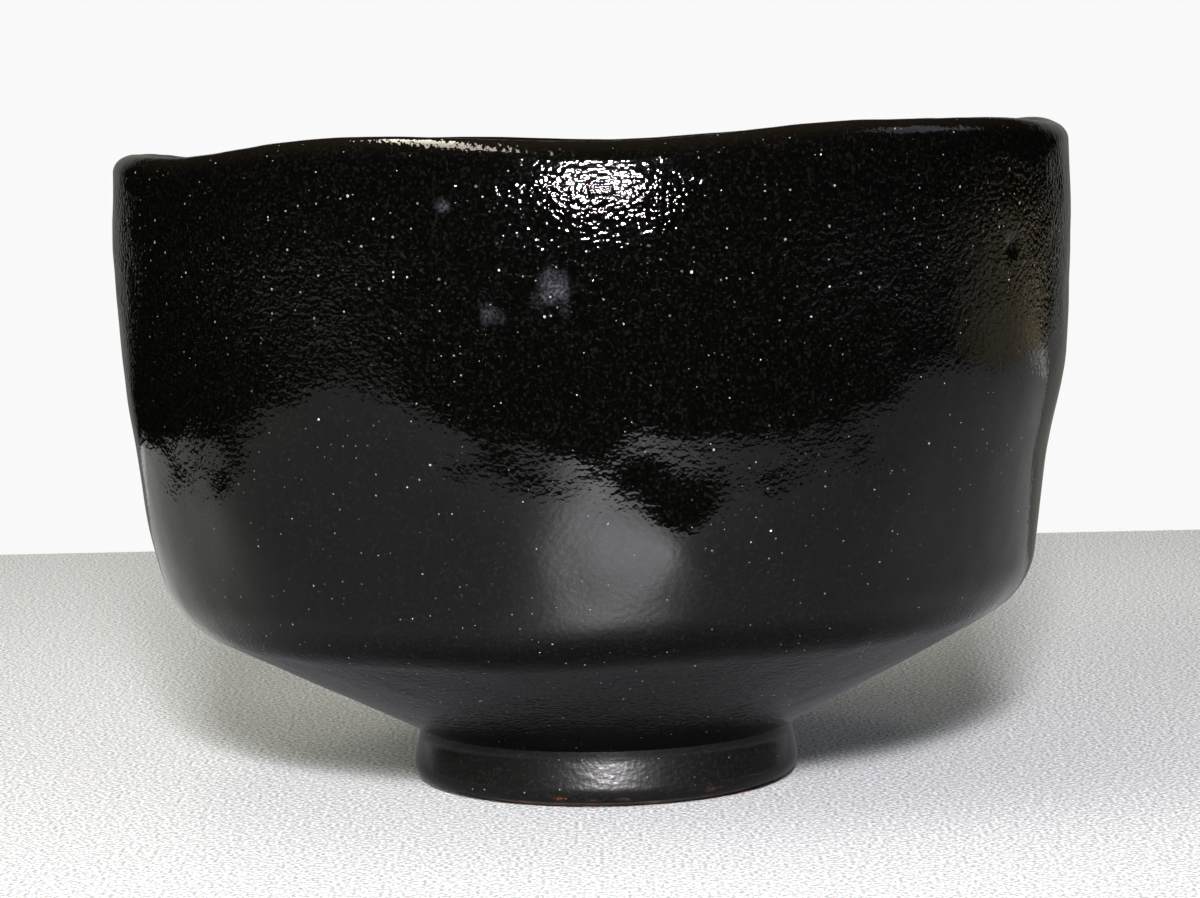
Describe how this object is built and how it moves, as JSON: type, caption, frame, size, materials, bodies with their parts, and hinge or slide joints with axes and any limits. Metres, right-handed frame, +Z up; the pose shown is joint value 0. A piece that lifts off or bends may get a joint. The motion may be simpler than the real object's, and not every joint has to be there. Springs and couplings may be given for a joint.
{
  "type": "matcha bowl",
  "caption": "Hand-formed tea bowl with an upright wall, soft hip and low ring foot, coated in glossy black glaze, for whisking and drinking powdered tea.",
  "frame": {"origin": "centre of the ring that the foot rests on, on the table", "axes": "+Z up along the foot's axis, -Y towards the front face of the bowl, +X to the right seen from the front"},
  "size_m": [0.1199, 0.1198, 0.0825],
  "materials": {
    "fired_clay": "matt red-brown fired clay, bare only at the foot's lower edges",
    "black_glaze": "glossy black with a fine pebbled surface and pale pinholes",
    "lip_glaze": "glossy brown-black where the coat wraps the rim"
  },
  "bodies": {
    "root": {"bowl_body": "fired_clay", "foot": "fired_clay", "outer_glaze": "black_glaze", "lip_glaze": "lip_glaze", "inner_glaze": "black_glaze", "foot_glaze": "black_glaze", "recess_glaze": "black_glaze"}
  },
  "joints": []
}
